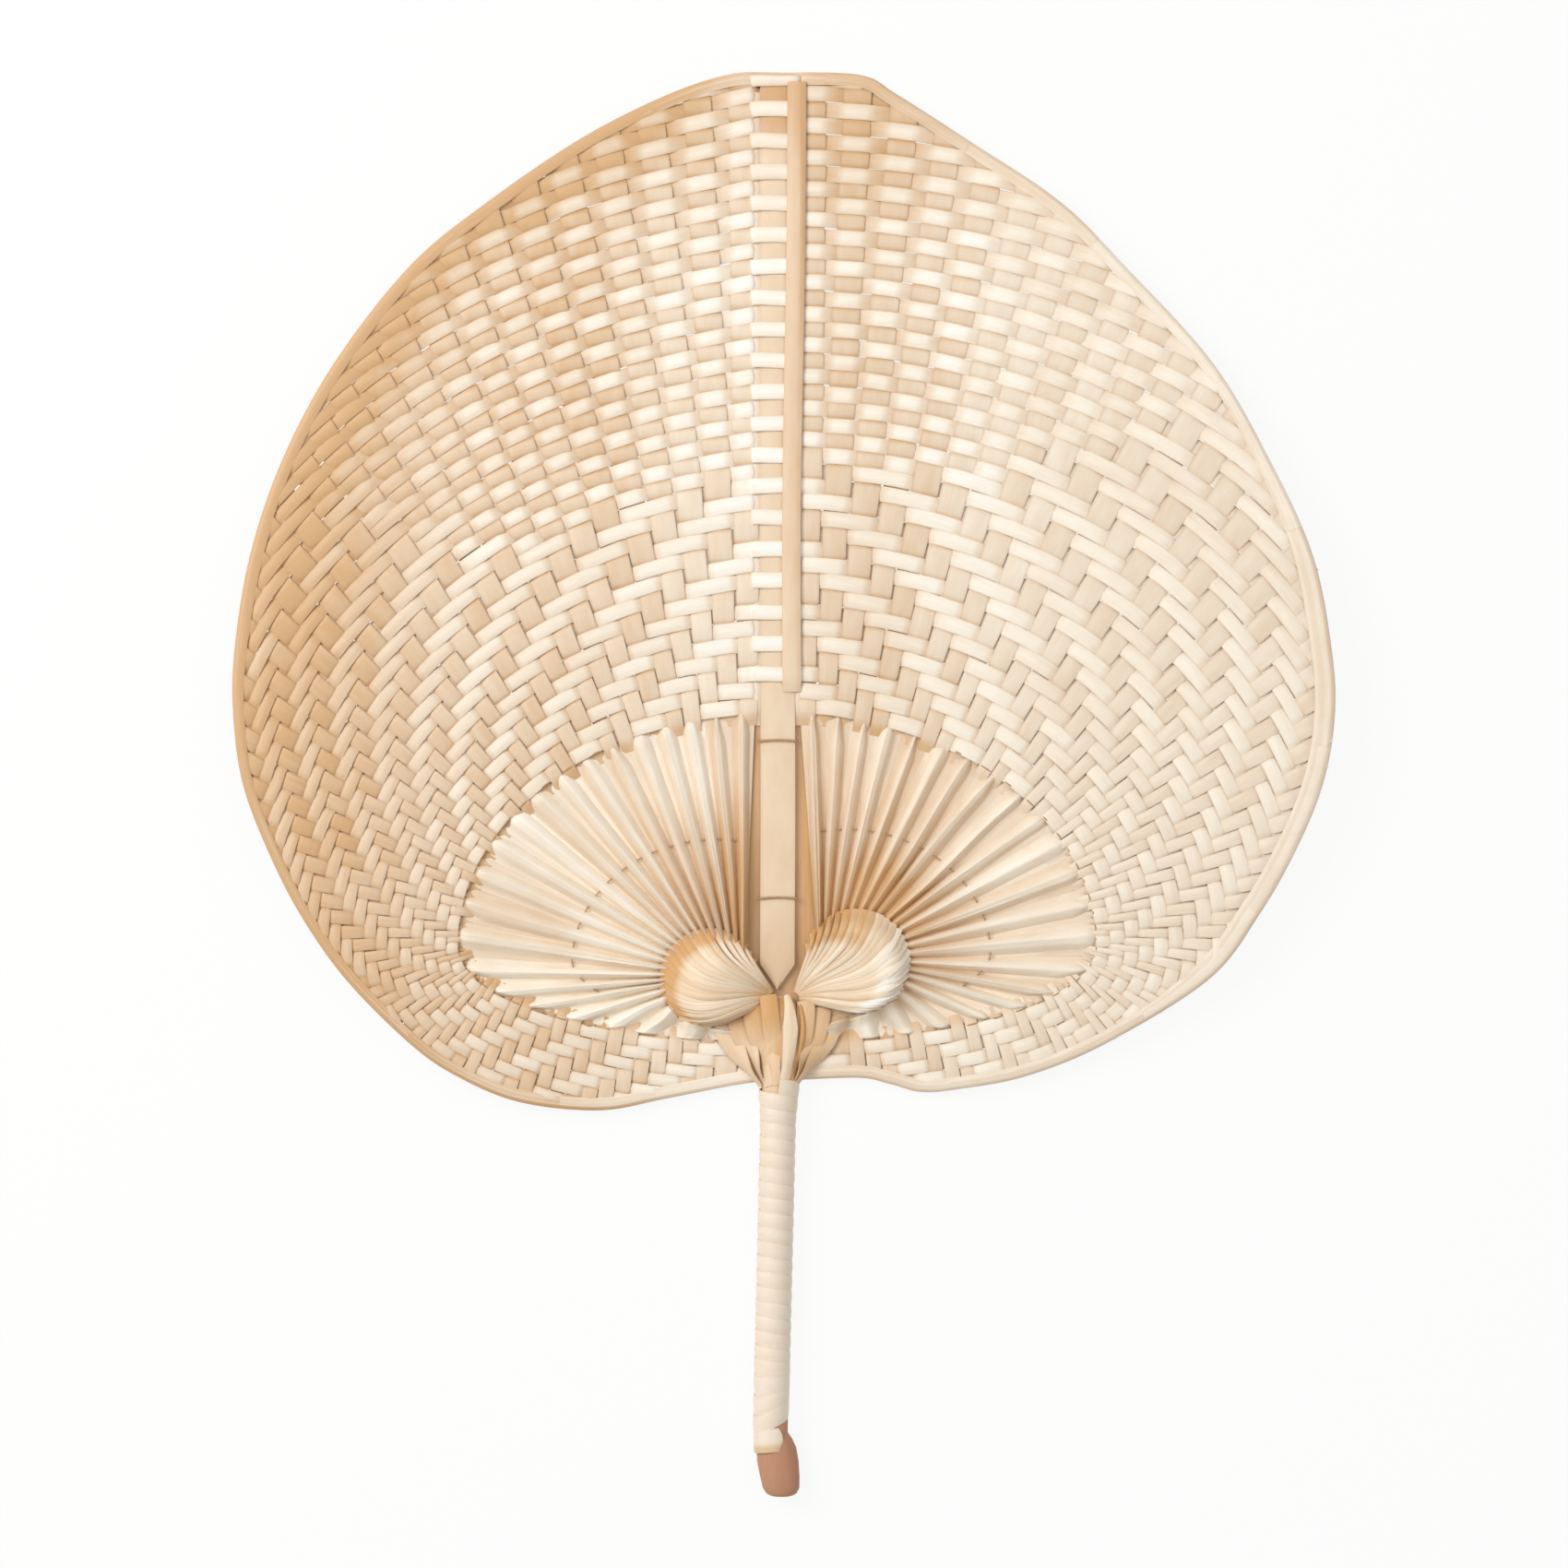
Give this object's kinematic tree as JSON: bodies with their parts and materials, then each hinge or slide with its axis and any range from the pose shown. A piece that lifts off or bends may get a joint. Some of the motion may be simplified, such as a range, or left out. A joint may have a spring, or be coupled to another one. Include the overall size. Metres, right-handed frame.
{
  "type": "palm leaf fan",
  "caption": "Heart-shaped hand fan woven from palm leaf strips, with folded ribs, two bosses, a slat spine and a bound stalk handle.",
  "frame": {"origin": "on the back face of the spine, level with the two bosses that the ribs spring from", "axes": "+Y along the spine towards the tip, +Z out of the fan's face, +X to the right seen from the face"},
  "size_m": [0.3069, 0.3991, 0.016],
  "materials": {
    "straw": "matt dried leaf strip",
    "gold_straw": "satin dried leaf, golden",
    "slat_cane": "smooth split cane",
    "winding": "smooth cane strip",
    "stalk": "dry reddish-brown stalk",
    "thread": "thin plant-fibre thread"
  },
  "bodies": {
    "root": {"boss_left": "gold_straw", "boss_right": "gold_straw", "handle_stalk": "stalk", "handle_winding": "winding", "neck_fold_left": "gold_straw", "neck_fold_right": "gold_straw", "rib_left_01": "straw", "rib_left_02": "straw", "rib_left_03": "straw", "rib_left_04": "straw", "rib_left_05": "straw", "rib_left_06": "straw", "rib_left_07": "straw", "rib_left_08": "straw", "rib_left_09": "straw", "rib_left_10": "straw", "rib_left_11": "straw", "rib_left_12": "straw", "rib_left_13": "straw", "rib_left_14": "straw", "rib_left_15": "straw", "rib_left_16": "straw", "rib_left_17": "straw", "rib_left_18": "straw", "rib_left_19": "straw", "rib_left_20": "straw", "rib_left_21": "straw", "rib_left_22": "straw", "rib_right_01": "straw", "rib_right_02": "straw", "rib_right_03": "straw", "rib_right_04": "straw", "rib_right_05": "straw", "rib_right_06": "straw", "rib_right_07": "straw", "rib_right_08": "straw", "rib_right_09": "straw", "rib_right_10": "straw", "rib_right_11": "straw", "rib_right_12": "straw", "rib_right_13": "straw", "rib_right_14": "straw", "rib_right_15": "straw", "rib_right_16": "straw", "rib_right_17": "straw", "rib_right_18": "straw", "rib_right_19": "straw", "rib_right_20": "straw", "rib_right_21": "straw", "rib_right_22": "straw", "spine_slat_back": "slat_cane", "spine_slat_front": "slat_cane", "spine_tie_lower": "thread", "spine_tie_upper": "thread", "twine_left": "thread", "twine_right": "thread", "woven_blade_left": "straw", "woven_blade_right": "straw"}
  },
  "joints": []
}
